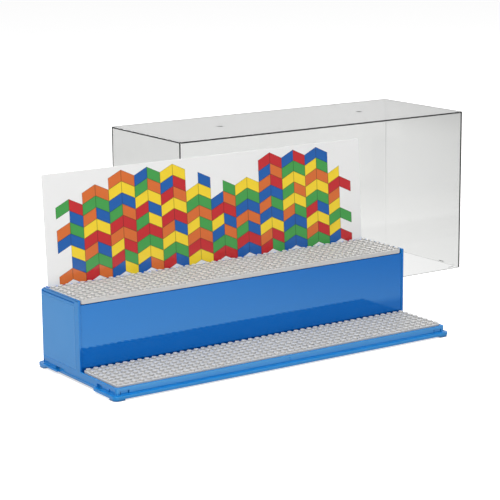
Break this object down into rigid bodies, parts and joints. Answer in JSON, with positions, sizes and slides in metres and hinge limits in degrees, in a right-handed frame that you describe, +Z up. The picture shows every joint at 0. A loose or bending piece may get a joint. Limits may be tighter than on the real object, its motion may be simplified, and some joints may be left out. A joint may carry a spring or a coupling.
{
  "type": "minifigure display case",
  "caption": "Long two-level display base with stud plates, a leaning backdrop card in a slot, and a clear lift-off hood set down behind it.",
  "frame": {"origin": "under the middle of the whole group (base and the hood beside it), on the surface that it stands on", "axes": "+X along the case to the viewer's right, +Y from the low front level to the back, +Z up"},
  "size_m": [0.6168, 0.3832, 0.1884],
  "materials": {
    "tray_blue": "glossy moulded blue",
    "riser_blue": "mirror-gloss moulded blue",
    "front_plate_grey": "satin-gloss light grey",
    "top_plate_grey": "satin-gloss light grey",
    "card_print": null,
    "hood_clear": "clear polished plastic"
  },
  "bodies": {
    "base": {"base_tray": "tray_blue", "riser_step": "riser_blue", "front_stud_plate": "front_plate_grey", "top_stud_plate": "top_plate_grey"},
    "card": {"backdrop_card": "card_print"},
    "hood": {"hood": "hood_clear"}
  },
  "joints": [
    {"name": "card_lift", "type": "slide", "parent": "base", "child": "card", "axis": [0, 0.0593, 0.9982], "range_m": [0, 0.12]},
    {"name": "hood_lift", "type": "slide", "parent": "base", "child": "hood", "axis": [0, 0, 1], "range_m": [0, 0.2]}
  ]
}
